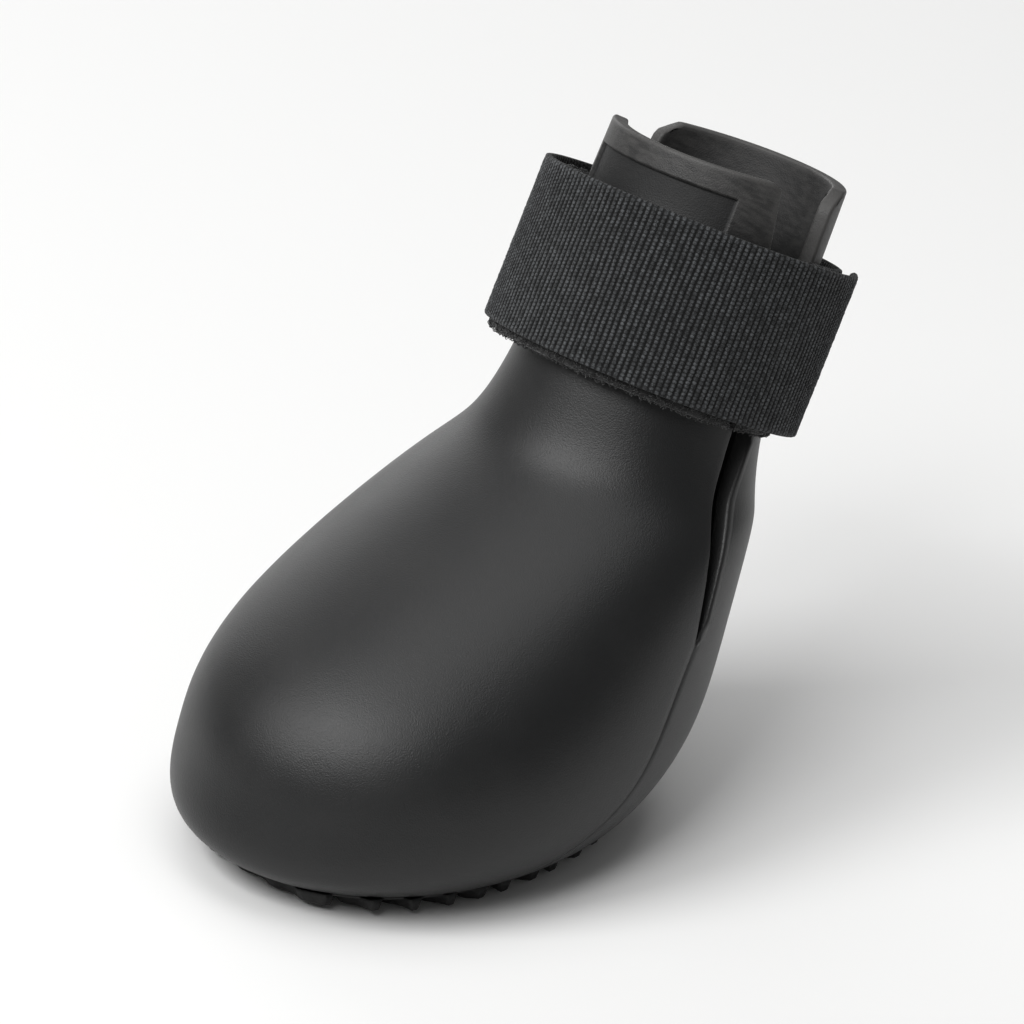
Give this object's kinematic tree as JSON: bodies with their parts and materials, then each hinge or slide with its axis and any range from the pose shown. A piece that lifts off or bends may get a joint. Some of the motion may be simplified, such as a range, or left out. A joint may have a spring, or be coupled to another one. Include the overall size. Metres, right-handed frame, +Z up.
{
  "type": "dog boot",
  "caption": "Moulded rubber dog boot with a round toe, a split collar held by a wrapped hook-and-loop strap, and a ribbed outsole with a paw relief.",
  "frame": {"origin": "middle of the tread, on the floor that the boot stands on", "axes": "+Z up, -Y towards the toe, +X towards the boot's own left side"},
  "size_m": [0.067, 0.1106, 0.0954],
  "materials": {
    "moulded_rubber": "satin black moulded silicone rubber with a fine grain",
    "tread_rubber": "matte black rubber, rough on the ribs",
    "webbing": "black nylon webbing with fine ribs",
    "pile": "black loop pile",
    "hook_tape": "black hook tape"
  },
  "bodies": {
    "root": {"upper": "moulded_rubber", "outsole": "tread_rubber", "strap_web": "webbing", "strap_loop": "pile", "strap_hook": "hook_tape"}
  },
  "joints": []
}
